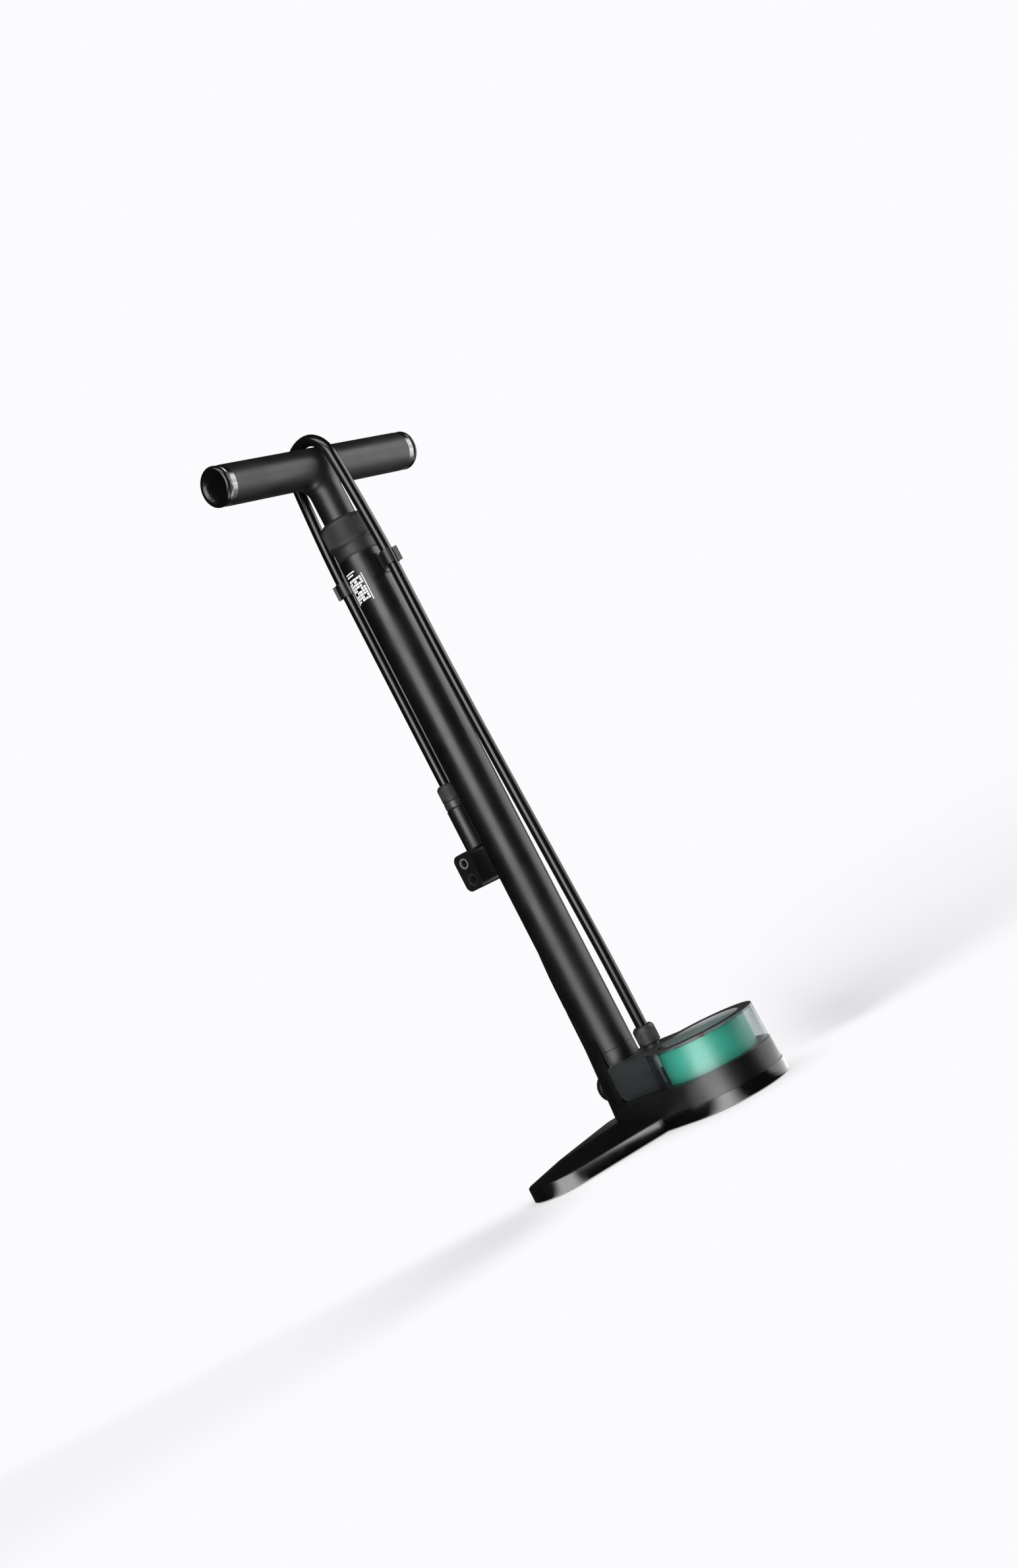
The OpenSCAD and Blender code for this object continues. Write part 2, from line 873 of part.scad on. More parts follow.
// Body of the chuck, with the neck that enters the ring and the nut
module chuck_body() {
    top = chuck_nut_z - chuck_ring_h;
    r = chuck_od / 2;
    color("#232325")
        at_chuck()
            rotate_extrude()
                polygon([
                    [air_r, chuck_body_z], [r, chuck_body_z], [r, top - 1], [r - 0.8, top], [hose_r, top],
                    [hose_r, hose_end_z], [air_r, hose_end_z]
                ]);
}

// Block that holds the two valve ports
module chuck_head() {
    z = chuck_body_z - head_h;
    color("#1a1a1c")
        at_chuck()
            difference() {
                translate([head_front, 0, z])
                    rotate([90, 0, 90])
                        linear_extrude(head_back - head_front) rounded_plate(head_half, head_h, 6);
                translate([0, 0, port_small_z]) port_hole(port_small_r + seal_wall);
                translate([0, 0, port_large_z]) port_hole(port_large_r + seal_wall);
                translate([0, 0, port_large_z]) disc(air_r, 0, head_h + 10);
                translate([lever_x - lever_hub_r - 0.6, -lever_half - 0.2, lever_z - lever_hub_r - 0.6])
                    cube([40, 2 * lever_half + 0.4, 40]);
                translate([lever_x, 0, lever_z]) along_y() disc(pin_r + fit / 2, -50, 100);
            }
}

// A plate of half width w and height h with round corners, standing on y = 0
module rounded_plate(w, h, r) {
    union() {
        translate([-w + r, 0]) square([2 * (w - r), h]);
        translate([-w, r]) square([2 * w, h - 2 * r]);
        for (side = [-1, 1])
            for (y = [r, h - r])
                translate([side * (w - r), y]) circle(r = r);
    }
}

module port_hole(r) {
    along_x() {
        disc(r, head_front - 1, port_depth + 1);
        disc(air_r, head_front, port_depth + 6);
    }
}

// A rubber seal inside a port
module port_seal(r) {
    along_x() tube(r + seal_wall - fit / 2, r, head_front + port_lip, port_depth - port_lip);
}

module seal_small() {
    color("#3a3a3a") at_chuck() translate([0, 0, port_small_z]) port_seal(port_small_r);
}

module seal_large() {
    color("#242424") at_chuck() translate([0, 0, port_large_z]) port_seal(port_large_r);
}

// Pale ring that marks the small port
module port_ring() {
    color("#b9bcc2")
        at_chuck()
            translate([0, 0, port_small_z])
                along_x()
                    tube(
                        port_small_r + seal_wall - fit / 2, port_small_r + ring_step,
                        head_front - ring_step, port_lip + ring_step
                    );
}

module chuck_lever() {
    color("#161618")
        at_chuck()
            difference() {
                union() {
                    translate([lever_x, 0, lever_z])
                        along_y() disc(lever_hub_r, -lever_half, 2 * lever_half);
                    translate([lever_x - 1, -lever_half, lever_z])
                        cube([lever_hub_r + 1, 2 * lever_half, lever_len]);
                    translate([lever_x + lever_hub_r - 1, -lever_half, lever_z + lever_len - 10])
                        cube([3, 2 * lever_half, 10]);
                }
                translate([lever_x, 0, lever_z]) along_y() disc(pin_r + run, -50, 100);
            }
}

module lever_pin() {
    color("#9a9a9e")
        at_chuck()
            translate([lever_x, 0, lever_z])
                along_y() disc(pin_r, -head_half + 0.3, 2 * head_half - 0.6);
}

// ---------- handle, rod and piston ----------

// Moulded T: the bar that the hands hold, and its stem
module handle_shell() {
    color("#333335")
        difference() {
            union() {
                translate([0, 0, handle_z]) along_x() disc(handle_r, -grip_half, 2 * grip_half);
                disc(stem_od / 2, stem_z, handle_z - stem_z);
                translate([0, 0, handle_z - handle_r - 1])
                    cylinder(r1 = stem_od / 2, r2 = handle_r, h = handle_r * 0.6);
            }
            translate([0, 0, handle_z]) along_x() disc(tube_r + fit, -handle_len, 2 * handle_len);
            disc(rod_r + fit, 0, handle_z);
            disc(bolt_head_r + fit, handle_z, 100);
        }
}

module handle_tube() {
    color("#a9a9ad")
        difference() {
            translate([0, 0, handle_z])
                along_x() tube(tube_r, tube_r - tube_wall, -grip_half, 2 * grip_half);
            disc(rod_r + fit, 0, rod_top + 1);
        }
}

module at_handle_end(side) {
    translate([0, 0, handle_z])
        rotate([0, side * 90, 0])
            translate([0, 0, grip_half])
                children();
}

// Bright band between the grip and the end cap
module end_ring(side) {
    color("#5a5a5e")
        at_handle_end(side)
            rotate_extrude()
                polygon([
                    [tube_r - tube_wall, 0], [handle_r - 0.2, 0], [handle_r - 0.2, ring_len - 1],
                    [handle_r - 0.9, ring_len - 0.3], [handle_r - 0.9, ring_len],
                    [tube_r - tube_wall, ring_len]
                ]);
}

// Plug with a rounded rim and a dished face
module end_cap(side) {
    inner = tube_r - tube_wall - fit;
    rim = 3;
    edge = handle_r - rim;
    color("#0f0f10")
        at_handle_end(side)
            rotate_extrude()
                polygon(concat(
                    [[0, -12], [inner - 1, -12], [inner, -11], [inner, ring_len], [handle_r - 1, ring_len]],
                    [for (a = [-10 : 10 : 90])
                        [edge + rim * cos(a), ring_len + cap_len - rim + rim * sin(a)]],
                    [[edge - 1.6, ring_len + cap_len - 0.5], [edge - 4, ring_len + cap_len - 1.9],
                     [edge - 8, ring_len + cap_len - 2.7], [0, ring_len + cap_len - 3]]
                ));
}

module end_ring_left() {
    end_ring(-1);
}

module end_ring_right() {
    end_ring(1);
}

module end_cap_left() {
    end_cap(-1);
}

module end_cap_right() {
    end_cap(1);
}

// Screw that clamps the handle to the rod
module rod_bolt() {
    color("#8c8c90")
        difference() {
            union() {
                disc(bolt_head_r, rod_top, bolt_head_h);
                disc(rod_bore_r - fit / 2, rod_top - 26, 26);
            }
            disc(3, rod_top + bolt_head_h - 3, 4, $fn = 6);
        }
}

module piston_rod() {
    color("#c4c6ca") tube(rod_r, rod_bore_r, piston_z + piston_web, rod_top - piston_z - piston_web);
}

module rod_bumper() {
    color("#1c1c1c") tube(bush_r + 3, rod_r + run, piston_top, bumper_h);
}

// Moulded piston with a groove for the seal and a groove for the slide ring
module piston_core() {
    groove_r = piston_r - 2;
    color("#d8d4c6")
        rotate_extrude()
            polygon([
                [rod_bore_r, piston_z], [piston_r, piston_z], [piston_r, piston_z + 2.5],
                [groove_r, piston_z + 2.5], [groove_r, piston_z + 6.5], [piston_r, piston_z + 6.5],
                [piston_r, piston_z + 8.5], [groove_r, piston_z + 8.5], [groove_r, piston_z + 11.5],
                [piston_r, piston_z + 11.5], [piston_r, piston_top], [rod_r + fit, piston_top],
                [rod_r + fit, piston_z + piston_web], [rod_bore_r, piston_z + piston_web]
            ]);
}

module piston_seal() {
    color("#141414") tube(bore_r - run, piston_r - 2 + fit, piston_z + 2.5 + fit, 4 - 2 * fit);
}

module piston_ring() {
    color("#e8e6df") tube(bore_r - run, piston_r - 2 + fit, piston_z + 8.5 + fit, 3 - 2 * fit);
}

// Screw that closes the rod's lower end and holds the piston
module piston_bolt() {
    color("#8c8c90") {
        disc(rod_r + 1, piston_z - piston_bolt_h, piston_bolt_h);
        disc(rod_bore_r - fit / 2, piston_z, piston_h);
    }
}

base_slab();
base_housing();
rubber_pads();
base_screws();
barrel_foot();
foot_seal();
barrel_tube();
barrel_label();
top_cap();
cap_seal();
rod_bush();
wiper_seal();
manifold();
valve_seat();
valve_poppet();
valve_spring();
valve_plug();
gauge_cover();
cover_trim();
gauge_ring();
gauge_dial();
gauge_needle();
needle_arbor();
movement_plate();
sector_gear();
bourdon_tube();
gland_stem();
gland_nut();
hose_clip_front();
hose_clip_rear();
hose();
chuck_nut();
chuck_ring();
chuck_body();
chuck_head();
port_ring();
seal_small();
seal_large();
chuck_lever();
lever_pin();
handle_shell();
handle_tube();
end_ring_left();
end_ring_right();
end_cap_left();
end_cap_right();
rod_bolt();
piston_rod();
rod_bumper();
piston_core();
piston_ring();
piston_seal();
piston_bolt();
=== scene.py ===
"""Looks of the floor pump: cast and moulded pieces, hose, gauge, materials, studio and camera.

Sizes are in metres, in the frame of the CAD model: +Z up, barrel on the Z axis, gauge towards -Y.
Profiles and the hose's route are written in millimetres and scaled by MM.
"""
import json
import math

import bmesh
import bpy
import numpy as np
from mathutils import Matrix, Vector

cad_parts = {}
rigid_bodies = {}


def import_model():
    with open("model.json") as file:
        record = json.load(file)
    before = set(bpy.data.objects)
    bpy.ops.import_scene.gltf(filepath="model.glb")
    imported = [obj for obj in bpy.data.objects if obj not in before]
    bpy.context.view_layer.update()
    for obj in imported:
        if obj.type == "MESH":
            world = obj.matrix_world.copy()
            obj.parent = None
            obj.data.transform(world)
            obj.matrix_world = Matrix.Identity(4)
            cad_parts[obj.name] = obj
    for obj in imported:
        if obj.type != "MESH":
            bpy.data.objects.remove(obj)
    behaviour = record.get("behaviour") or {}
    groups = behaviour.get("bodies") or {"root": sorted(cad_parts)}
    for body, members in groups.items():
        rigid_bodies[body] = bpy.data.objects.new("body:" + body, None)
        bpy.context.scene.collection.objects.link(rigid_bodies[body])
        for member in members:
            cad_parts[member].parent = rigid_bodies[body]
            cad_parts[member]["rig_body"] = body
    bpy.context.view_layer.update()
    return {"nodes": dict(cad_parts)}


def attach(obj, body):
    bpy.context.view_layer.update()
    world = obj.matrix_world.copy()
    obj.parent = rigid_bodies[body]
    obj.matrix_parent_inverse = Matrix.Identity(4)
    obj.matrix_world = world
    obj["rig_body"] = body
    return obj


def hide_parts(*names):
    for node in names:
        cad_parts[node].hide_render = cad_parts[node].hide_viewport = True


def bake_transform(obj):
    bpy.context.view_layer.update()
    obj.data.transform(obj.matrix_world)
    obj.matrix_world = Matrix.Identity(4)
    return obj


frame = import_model()
NODES = frame["nodes"]
MM = 0.001
TAU = 2 * math.pi


# ---------- camera ----------

def make_camera():
    """Low camera rolled so that the pump leans; returns its right and its ahead, both level."""
    azimuth, pitch, roll = math.radians(-48.8), math.radians(3.43), math.radians(-27.29)
    distance, height, aside = 1.5455, 0.2119, 0.0236
    right = Vector((math.cos(azimuth), math.sin(azimuth), 0))
    level = Vector((-math.sin(azimuth), math.cos(azimuth), 0))
    ahead = level * math.cos(pitch) + Vector((0, 0, 1)) * math.sin(pitch)
    above = right.cross(ahead)
    side = right * math.cos(roll) + above * math.sin(roll)
    up = above * math.cos(roll) - right * math.sin(roll)
    data = bpy.data.cameras.new("camera")
    data.sensor_width = 36
    data.lens = 42.7
    camera = bpy.data.objects.new("camera", data)
    bpy.context.scene.collection.objects.link(camera)
    place = level * -distance + right * aside + Vector((0, 0, height))
    camera.matrix_world = Matrix((
        (side.x, up.x, -ahead.x, place.x),
        (side.y, up.y, -ahead.y, place.y),
        (side.z, up.z, -ahead.z, place.z),
        (0, 0, 0, 1),
    ))
    bpy.context.scene.camera = camera
    return right, level


RIGHT, AHEAD = make_camera()


# ---------- mesh helpers ----------

def new_object(name, verts, faces, material=None, smooth=True):
    """An object in the scene from vertices and faces."""
    mesh = bpy.data.meshes.new(name)
    mesh.from_pydata([tuple(v) for v in verts], [], faces)
    mesh.validate()
    obj = bpy.data.objects.new(name, mesh)
    bpy.context.scene.collection.objects.link(obj)
    if smooth:
        mesh.shade_smooth()
    if material:
        mesh.materials.append(material)
    return obj


def apply_modifiers(obj):
    """Bakes the modifiers of obj into its mesh."""
    evaluated = obj.evaluated_get(bpy.context.evaluated_depsgraph_get())
    mesh = bpy.data.meshes.new_from_object(evaluated)
    obj.modifiers.clear()
    obj.data = mesh


def shade_by_angle(obj, degrees=32):
    """Smooth shading, with edges sharper than the angle kept crisp."""
    obj.data.shade_smooth()
    obj.data.set_sharp_from_angle(angle=math.radians(degrees))


def join_grid(rows, columns):
    """Faces of a grid of rows by columns of points, closed round its columns."""
    return [
        (r * columns + c, r * columns + (c + 1) % columns,
         (r + 1) * columns + (c + 1) % columns, (r + 1) * columns + c)
        for r in range(rows - 1) for c in range(columns)
    ]


def refined(node, material, bevel, segments):
    """The CAD node's shape with its sharp edges rounded by bevel millimetres, in its place."""
    source = NODES[node]
    mesh = source.data.copy()
    obj = bpy.data.objects.new(node + "_shape", mesh)
    bpy.context.scene.collection.objects.link(obj)
    work = bmesh.new()
    work.from_mesh(mesh)
    bmesh.ops.remove_doubles(work, verts=work.verts, dist=1e-6)
    bmesh.ops.dissolve_limit(
        work, angle_limit=math.radians(0.6), verts=work.verts, edges=work.edges, delimit={"NORMAL"})
    work.to_mesh(mesh)
    work.free()
    mod = obj.modifiers.new("edges", "BEVEL")
    mod.width = bevel * MM
    mod.segments = segments
    mod.limit_method = "ANGLE"
    mod.angle_limit = math.radians(30)
    mod.use_clamp_overlap = True
    mod.harden_normals = False
    apply_modifiers(obj)
    shade_by_angle(obj)
    weigh = obj.modifiers.new("weigh", "WEIGHTED_NORMAL")
    weigh.keep_sharp = True
    weigh.weight = 80
    apply_modifiers(obj)
    obj.data.materials.clear()
    obj.data.materials.append(material)
    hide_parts(node)
    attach(obj, source["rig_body"])
    return obj


# ---------- materials ----------

GRAIN_DEPTH = 0.04 * MM
PATCH_SCALE = 35


def surface(name, color, rough, spread=0.18, grain=900, bump=0.12, stretch=(1, 1, 1),
            rough_spread=0.06, pale_edges=0.0, **direct):
    """Procedural material: fine grain in colour and bump, broad patches in roughness, paler convex
    edges.

    spread is the share by which the colour varies, grain is the scale of the fine noise, pale_edges
    is how far convex edges turn paler, and direct holds other inputs of the shader by name.
    """
    material = bpy.data.materials.new(name)
    material.use_nodes = True
    tree = material.node_tree
    new, link = tree.nodes.new, tree.links.new
    shader = tree.nodes["Principled BSDF"]
    place = new("ShaderNodeTexCoord")
    mapping = new("ShaderNodeMapping")
    mapping.inputs["Scale"].default_value = stretch
    link(place.outputs["Object"], mapping.inputs["Vector"])
    fine = new("ShaderNodeTexNoise")
    fine.inputs["Scale"].default_value = grain
    fine.inputs["Detail"].default_value = 4
    link(mapping.outputs[0], fine.inputs["Vector"])
    broad = new("ShaderNodeTexNoise")
    broad.inputs["Scale"].default_value = PATCH_SCALE
    broad.inputs["Detail"].default_value = 3
    link(place.outputs["Object"], broad.inputs["Vector"])
    ramp = new("ShaderNodeValToRGB")
    ramp.color_ramp.elements[0].position = 0.3
    ramp.color_ramp.elements[1].position = 0.7
    ramp.color_ramp.elements[0].color = (*[c * (1 - spread) for c in color], 1)
    ramp.color_ramp.elements[1].color = (*[min(1, c * (1 + spread)) for c in color], 1)
    link(fine.outputs["Fac"], ramp.inputs["Fac"])
    colour_out = ramp.outputs["Color"]
    # Convex edges, found by pointiness, turn paler.
    if pale_edges:
        shape = new("ShaderNodeNewGeometry")
        edge = new("ShaderNodeMapRange")
        edge.inputs["From Min"].default_value = 0.52
        edge.inputs["From Max"].default_value = 0.62
        edge.inputs["To Max"].default_value = pale_edges
        link(shape.outputs["Pointiness"], edge.inputs["Value"])
        mix = new("ShaderNodeMix")
        mix.data_type = "RGBA"
        plain, pale_edge_colour = [socket for socket in mix.inputs if socket.type == "RGBA"]
        pale_edge_colour.default_value = (*[min(1, c * 3 + 0.03) for c in color], 1)
        link(edge.outputs["Result"], mix.inputs["Factor"])
        link(colour_out, plain)
        colour_out = next(socket for socket in mix.outputs if socket.type == "RGBA")
    link(colour_out, shader.inputs["Base Color"])
    span = new("ShaderNodeMapRange")
    span.inputs["From Min"].default_value = 0.3
    span.inputs["From Max"].default_value = 0.7
    span.inputs["To Min"].default_value = max(0.02, rough - rough_spread)
    span.inputs["To Max"].default_value = min(1, rough + rough_spread)
    link(broad.outputs["Fac"], span.inputs["Value"])
    link(span.outputs["Result"], shader.inputs["Roughness"])
    if bump:
        relief = new("ShaderNodeBump")
        relief.inputs["Strength"].default_value = bump
        relief.inputs["Distance"].default_value = GRAIN_DEPTH
        link(fine.outputs["Fac"], relief.inputs["Height"])
        link(relief.outputs["Normal"], shader.inputs["Normal"])
    for key, value in direct.items():
        shader.inputs[key.replace("_", " ")].default_value = value
    return material


def clear_cover(name, clear, smoke_and_shade, rough):
    """Smoked clear plastic whose painted shade makes it darker and hazier towards the barrel, under
    a skin that is glossier edge-on.
    """
    material = bpy.data.materials.new(name)
    material.use_nodes = True
    tree = material.node_tree
    new, link = tree.nodes.new, tree.links.new
    tree.nodes.remove(tree.nodes["Principled BSDF"])
    out = tree.nodes["Material Output"]
    place = new("ShaderNodeTexCoord")
    split = new("ShaderNodeSeparateXYZ")
    link(place.outputs["Object"], split.inputs[0])
    cloud = new("ShaderNodeTexNoise")
    cloud.inputs["Scale"].default_value = 45
    link(place.outputs["Object"], cloud.inputs["Vector"])
    wander = new("ShaderNodeMath")
    wander.operation = "MULTIPLY_ADD"
    wander.inputs[1].default_value = 0.006
    link(cloud.outputs["Fac"], wander.inputs[0])
    link(split.outputs["Y"], wander.inputs[2])
    # Painted shade: from the gauge towards the barrel the plastic lets less light through and turns
    # hazier.
    along = new("ShaderNodeMapRange")
    along.inputs["From Min"].default_value = -0.062
    along.inputs["From Max"].default_value = -0.038
    link(wander.outputs[0], along.inputs["Value"])
    ramp = new("ShaderNodeValToRGB")
    ramp.color_ramp.elements[0].color = (*clear, 1)
    ramp.color_ramp.elements[1].color = (*smoke_and_shade, 1)
    link(along.outputs["Result"], ramp.inputs["Fac"])
    clear_part = new("ShaderNodeBsdfTransparent")
    link(ramp.outputs["Color"], clear_part.inputs["Color"])
    veil = new("ShaderNodeBsdfDiffuse")
    veil.inputs["Color"].default_value = (0.038, 0.043, 0.043, 1)
    haze = new("ShaderNodeMapRange")
    haze.inputs["To Min"].default_value = 0.06
    haze.inputs["To Max"].default_value = 0.5
    link(along.outputs["Result"], haze.inputs["Value"])
    through = new("ShaderNodeMixShader")
    link(haze.outputs["Result"], through.inputs[0])
    link(clear_part.outputs[0], through.inputs[1])
    link(veil.outputs[0], through.inputs[2])
    skin = new("ShaderNodeBsdfGlossy")
    skin.inputs["Roughness"].default_value = rough
    facing = new("ShaderNodeLayerWeight")
    facing.inputs["Blend"].default_value = 0.5
    bent = new("ShaderNodeMath")
    bent.operation = "POWER"
    bent.inputs[1].default_value = 5
    link(facing.outputs["Facing"], bent.inputs[0])
    share = new("ShaderNodeMath")
    share.operation = "MULTIPLY_ADD"
    share.inputs[1].default_value = 0.75
    share.inputs[2].default_value = 0.035
    link(bent.outputs[0], share.inputs[0])
    mix = new("ShaderNodeMixShader")
    link(share.outputs[0], mix.inputs[0])
    link(through.outputs[0], mix.inputs[1])
    link(skin.outputs[0], mix.inputs[2])
    link(mix.outputs[0], out.inputs["Surface"])
    return material


LOOKS = {
    "barrel_metal": surface("barrel_satin_black", (0.0018, 0.0018, 0.002), 0.36, bump=0.1,
                            grain=2600),
    "foot_metal": surface("foot_gloss_black", (0.0022, 0.0022, 0.0024), 0.11, bump=0.02, grain=500,
                          rough_spread=0.03),
    "foot_housing": surface("housing_satin_black", (0.002, 0.002, 0.0022), 0.34, bump=0.1,
                            grain=1900),
    "rubber": surface("pad_rubber", (0.016, 0.016, 0.016), 0.78, bump=0.35, grain=1200),
    "steel": surface("screw_steel", (0.42, 0.42, 0.44), 0.32, spread=0.1, bump=0.1, Metallic=1.0),
    "label": surface("label_ink", (0.9, 0.9, 0.9), 0.5, spread=0.04, bump=0.05),
    "cap_plastic": surface("cap_matte", (0.009, 0.009, 0.0094), 0.58, bump=0.4, grain=1700,
                           pale_edges=0.15),
    "bearing_plastic": surface("bearing_plastic", (0.42, 0.39, 0.32), 0.5, spread=0.08),
    "valve_metal": surface("cast_valve_metal", (0.3, 0.3, 0.31), 0.45, bump=0.3, grain=700,
                           Metallic=1.0),
    "brass": surface("brass", (0.62, 0.44, 0.18), 0.3, spread=0.12, bump=0.08, Metallic=1.0),
    "gloss_fitting": surface("fitting_gloss_black", (0.008, 0.008, 0.0085), 0.25, bump=0.08,
                             pale_edges=0.2),
    "ring_green": surface("ring_brushed_green", (0.05, 0.42, 0.31), 0.34, spread=0.08, grain=420,
                          stretch=(0.15, 0.15, 9), bump=0.04, Specular_IOR_Level=0.9),
    "dial": surface("dial_face", (0.62, 0.66, 0.64), 0.5, spread=0.04, bump=0.06),
    "needle_red": surface("needle_red", (0.6, 0.05, 0.03), 0.4, spread=0.08, bump=0.05),
    "fitting_dark": surface("fitting_matte", (0.01, 0.01, 0.0104), 0.52, bump=0.3, grain=1700,
                            pale_edges=0.15),
    "chuck_metal": surface("chuck_satin_black", (0.0035, 0.0035, 0.0038), 0.36, bump=0.14,
                           grain=2000),
    "clip": surface("clip_plastic", (0.0012, 0.0012, 0.0013), 0.37, bump=0.14, grain=2000),
    "port_seal": surface("port_seal_rubber", (0.003, 0.003, 0.003), 0.75, bump=0.2, grain=1400),
    "hose_rubber": surface("hose_gloss_rubber", (0.0025, 0.0025, 0.0027), 0.2, bump=0.015,
                           grain=700, rough_spread=0.04),
    "pale_ring": surface("port_pale_ring", (0.11, 0.113, 0.125), 0.45, spread=0.06),
    "seal_grey": surface("seal_rubber", (0.02, 0.02, 0.02), 0.7, bump=0.3, grain=1400),
    "grip": surface("grip_soft_grey", (0.0055, 0.0055, 0.0058), 0.42, bump=0.15, grain=2200),
    "bare_tube": surface("bare_tube", (0.5, 0.5, 0.52), 0.3, spread=0.08, Metallic=1.0),
    "rod_chrome": surface("rod_chrome", (0.62, 0.62, 0.64), 0.12, spread=0.04, bump=0.02,
                          stretch=(1, 1, 0.05), Metallic=1.0),
    "chuck_ring": surface("chuck_ring_satin", (0.05, 0.05, 0.052), 0.36, bump=0.06, Metallic=0.6),
    "end_ring": surface("end_ring_gloss", (0.2, 0.2, 0.205), 0.24, spread=0.04, bump=0.015,
                        rough_spread=0.03, Metallic=1.0),
    "gloss_black": surface("cap_gloss_black", (0.0015, 0.0015, 0.0017), 0.24, bump=0.03,
                           rough_spread=0.03),
    "clear_cover": clear_cover("smoke_tint_painted_shade", (0.86, 0.9, 0.895), (0.50, 0.56, 0.56), 0.16),
    "ink": surface("dial_ink", (0.02, 0.02, 0.02), 0.6, spread=0.1),
}


# ---------- hose ----------

# The hose's middle line in the plane x = 0: (y, z) in millimetres, from the gland to the chuck.
ROUTE = [
    (-39.4, 73), (-39.4, 92), (-39.2, 120), (-38.7, 150), (-37.8, 180), (-36.8, 210),
    (-35.8, 240), (-34.7, 270), (-33.7, 300), (-32.7, 330), (-31.8, 360), (-31, 390),
    (-30.4, 420), (-30.1, 450), (-30, 480), (-30, 510), (-30, 525), (-28.9, 550), (-27.2, 580),
    (-25, 610), (-24, 619), (-21, 627), (-16, 633.5), (-9, 638), (0, 639.5), (9.5, 638),
    (17.5, 633.5), (23, 627), (26, 619), (27.4, 610), (29.6, 580), (31.3, 550), (32, 525),
    (32, 510), (32, 480), (32, 450), (32, 420), (32, 390), (32, 355), (32, 321),
]
HOSE_R = 5 * MM


def between(p, q, low, high, t):
    """The point at t on the line that is at p when t is low and at q when t is high."""
    return (p * (high - t) + q * (t - low)) / (high - low)


def smooth_route(points, step):
    """Centripetal Catmull-Rom line through the points, resampled about every step metres."""
    points = [np.array((0.0, y * MM, z * MM)) for y, z in points]
    padded = [2 * points[0] - points[1], *points, 2 * points[-1] - points[-2]]
    line = []
    for a, b, c, d in zip(padded, padded[1:], padded[2:], padded[3:]):
        knots = [0.0]
        for first, second in ((a, b), (b, c), (c, d)):
            knots.append(knots[-1] + math.sqrt(np.linalg.norm(second - first)))
        count = max(2, round(np.linalg.norm(c - b) / step))
        for i in range(count):
            t = knots[1] + (knots[2] - knots[1]) * i / count
            first = between(a, b, knots[0], knots[1], t)
            middle = between(b, c, knots[1], knots[2], t)
            last = between(c, d, knots[2], knots[3], t)
            left = between(first, middle, knots[0], knots[2], t)
            right = between(middle, last, knots[1], knots[3], t)
            line.append(between(left, right, knots[1], knots[2], t))
    line.append(points[-1])
    return line


def make_hose():
    """The hose along its route over the handle; returns it with its middle line and length."""
    line = smooth_route(ROUTE, 3 * MM)
    sides = 28
    across = np.array((1, 0, 0))
    verts = []
    for i, point in enumerate(line):
        along = line[min(i + 1, len(line) - 1)] - line[max(i - 1, 0)]
        along /= np.linalg.norm(along)
        out = np.array((0, along[2], -along[1]))
        for k in range(sides):
            angle = TAU * k / sides
            verts.append(point + HOSE_R * (math.cos(angle) * across + math.sin(angle) * out))
    faces = join_grid(len(line), sides)
    faces.append(tuple(range(sides))[::-1])
    faces.append(tuple((len(line) - 1) * sides + k for k in range(sides)))
    hose = new_object("hose_line", verts, faces, LOOKS["hose_rubber"])
    shade_by_angle(hose, 50)
    length = sum(float(np.linalg.norm(b - a)) for a, b in zip(line, line[1:]))
    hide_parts("hose")
    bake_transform(hose)
    return hose, line, length


HOSE, HOSE_LINE, HOSE_LENGTH = make_hose()


# ---------- handle ----------

HANDLE_Z = 617 * MM
BAR_R = 16.85 * MM
GRIP_HALF = 105.4 * MM
STEM_R = 14.5 * MM
STEM_FOOT = 566.5 * MM


def handle_distance(points):
    """Distance to the T: a bar along X and a stem along Z that flow into each other."""
    fillet, stem_end = 10 * MM, 8 * MM
    x, y, z = points[:, 0], points[:, 1], points[:, 2] - HANDLE_Z
    bar = np.hypot(y, z) - BAR_R
    below = np.minimum(z + stem_end, 0)
    stem = np.sqrt(x * x + y * y + (z + stem_end - below) ** 2) - STEM_R
    share = np.clip(0.5 + 0.5 * (stem - bar) / fillet, 0, 1)
    return stem * (1 - share) + bar * share - fillet * share * (1 - share)


